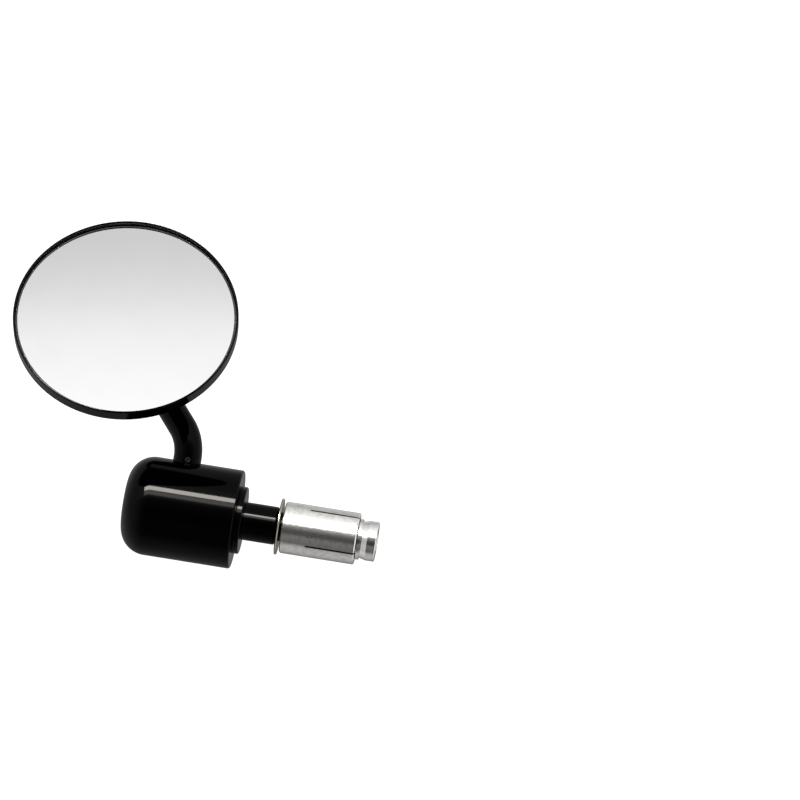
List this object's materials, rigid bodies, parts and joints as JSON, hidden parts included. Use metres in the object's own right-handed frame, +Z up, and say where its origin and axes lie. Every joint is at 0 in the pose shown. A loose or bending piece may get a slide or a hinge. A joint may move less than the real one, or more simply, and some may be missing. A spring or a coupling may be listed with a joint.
{
  "type": "bicycle bar-end mirror",
  "caption": "Round convex mirror on a bent arm, fixed to a rounded barrel with a slotted expanding plug for the open end of a bicycle handlebar.",
  "frame": {"origin": "on the handlebar's axis, in the plane of the bar's open end, where the flange washer stops", "axes": "+X along the bar's axis into the handlebar, +Z up along the arm's foot, and the glass faces -Y, tilted up"},
  "size_m": [0.1327, 0.0533, 0.1121],
  "materials": {
    "gloss_black": "gloss black coating on turned and cast aluminium",
    "satin_aluminium": "satin turned, silver",
    "bright_steel": "bright turned, plated",
    "dark_steel": "black oxide",
    "nylon": "natural nylon",
    "mirror_glass": "silvered convex glass with a ground edge",
    "foam_tape": "black adhesive foam"
  },
  "bodies": {
    "insert": {"spacer_tube": "gloss_black", "collar": "gloss_black", "flange_washer": "bright_steel", "expander_sleeve": "satin_aluminium"},
    "barrel": {"barrel": "gloss_black", "flat_washer": "bright_steel", "arm_post": "bright_steel", "thrust_washer": "nylon"},
    "screw": {"main_screw": "dark_steel", "lock_washer": "dark_steel"},
    "wedge": {"wedge_nut": "bright_steel"},
    "arm": {"arm": "gloss_black", "arm_grub_screw": "dark_steel", "ball_stud": "bright_steel"},
    "ball_seat": {"ball_seat": "nylon"},
    "ball_cup": {"ball_cup": "nylon"},
    "head": {"mirror_case": "gloss_black", "mirror_glass": "mirror_glass", "adhesive_pad": "foam_tape", "disc_spring": "dark_steel", "retaining_plate": "bright_steel", "plate_screws": "bright_steel"}
  },
  "joints": [
    {"name": "barrel_turn", "type": "hinge", "parent": "insert", "child": "barrel", "pos_m": [0, 0, 0], "axis": [1, 0, 0], "continuous": true},
    {"name": "arm_swivel", "type": "hinge", "parent": "barrel", "child": "arm", "pos_m": [-0.035, 0, 0.016], "axis": [0, 0, 1], "continuous": true},
    {"name": "ball_tilt", "type": "hinge", "parent": "arm", "child": "ball_seat", "pos_m": [-0.06143, -0.00666, 0.05584], "axis": [0.9999, -0.0105, 0], "range_deg": [-20, 20]},
    {"name": "ball_pan", "type": "hinge", "parent": "ball_seat", "child": "ball_cup", "pos_m": [-0.06143, -0.00666, 0.05584], "axis": [0.0051, 0.4894, 0.8721], "range_deg": [-20, 20]},
    {"name": "head_spin", "type": "hinge", "parent": "ball_cup", "child": "head", "pos_m": [-0.06143, -0.00666, 0.05584], "axis": [-0.0091, -0.872, 0.4894], "continuous": true},
    {"name": "main_screw_turn", "type": "hinge", "parent": "insert", "child": "screw", "pos_m": [0, 0, 0], "axis": [1, 0, 0], "range_deg": [-720, 432]},
    {"name": "wedge_slide", "type": "slide", "parent": "insert", "child": "wedge", "axis": [1, 0, 0], "range_m": [-0.00121, 0.00201]}
  ],
  "couplings": [
    {"joint": "wedge_slide", "follows": "main_screw_turn", "m_per_rad": -0.00015915}
  ]
}
